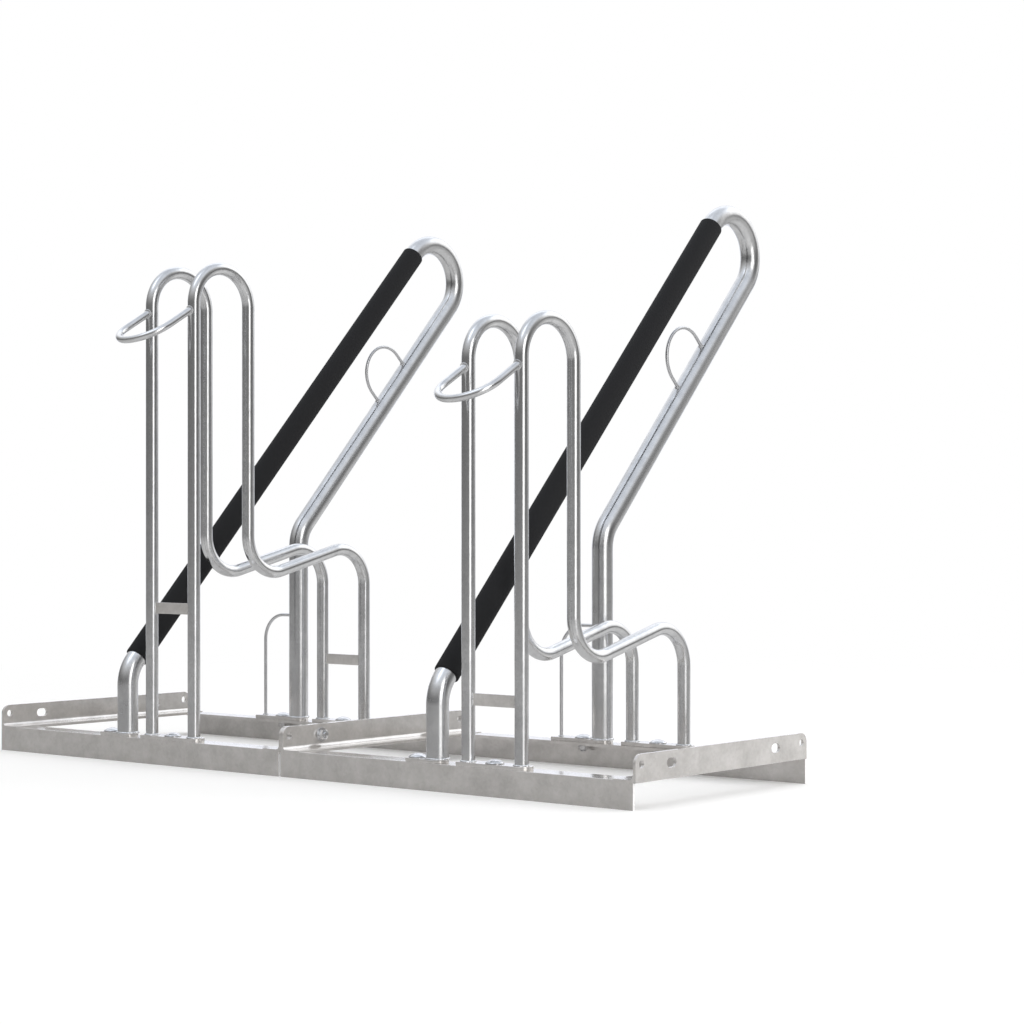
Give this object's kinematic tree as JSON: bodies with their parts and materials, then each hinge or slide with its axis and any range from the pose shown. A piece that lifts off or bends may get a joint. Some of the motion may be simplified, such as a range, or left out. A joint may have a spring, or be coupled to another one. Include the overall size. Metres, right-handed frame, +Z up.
{
  "type": "floor bike rack",
  "caption": "Galvanised steel floor rack that holds bicycles by the front wheel at staggered heights, each beside a sloping lean bar with a black sleeve and a lock eyelet.",
  "frame": {"origin": "on the floor, under the middle of the rack's bounding box", "axes": "+X along the rack, to the right seen from the front where the wheels come in, +Y to the back, +Z up"},
  "size_m": [1.2, 0.8358, 0.8284],
  "materials": {
    "angle_zinc": "hot-dip galvanised, dull mottled grey",
    "tube_zinc": "galvanised, smooth and bright",
    "bar_zinc": "galvanised, smooth and bright",
    "fastener_zinc": "zinc plated, slightly shiny",
    "sleeve": "matte black"
  },
  "bodies": {
    "root": {"high_front_rail": "angle_zinc", "high_rear_rail": "angle_zinc", "high_left_bracket": "angle_zinc", "high_right_bracket": "angle_zinc", "high_lean_bar": "tube_zinc", "high_lean_sleeve": "sleeve", "high_lean_front_foot": "angle_zinc", "high_lean_rear_foot": "angle_zinc", "high_lean_eyelet": "bar_zinc", "high_lower_wire_loop": "bar_zinc", "high_holder_left_tube": "tube_zinc", "high_holder_right_tube": "tube_zinc", "high_holder_front_foot": "angle_zinc", "high_holder_rear_foot": "angle_zinc", "high_wheel_hoop": "bar_zinc", "high_front_crossbar": "angle_zinc", "high_rear_crossbar": "angle_zinc", "low_front_rail": "angle_zinc", "low_rear_rail": "angle_zinc", "low_left_bracket": "angle_zinc", "low_right_bracket": "angle_zinc", "low_lean_bar": "tube_zinc", "low_lean_sleeve": "sleeve", "low_lean_front_foot": "angle_zinc", "low_lean_rear_foot": "angle_zinc", "low_lean_eyelet": "bar_zinc", "low_lower_wire_loop": "bar_zinc", "low_holder_left_tube": "tube_zinc", "low_holder_right_tube": "tube_zinc", "low_holder_front_foot": "angle_zinc", "low_holder_rear_foot": "angle_zinc", "low_wheel_hoop": "bar_zinc", "low_front_crossbar": "angle_zinc", "foot_bolts": "fastener_zinc", "foot_washers": "fastener_zinc", "foot_nuts": "fastener_zinc", "joint_bolts": "fastener_zinc", "joint_washers": "fastener_zinc", "joint_nuts": "fastener_zinc"}
  },
  "joints": []
}
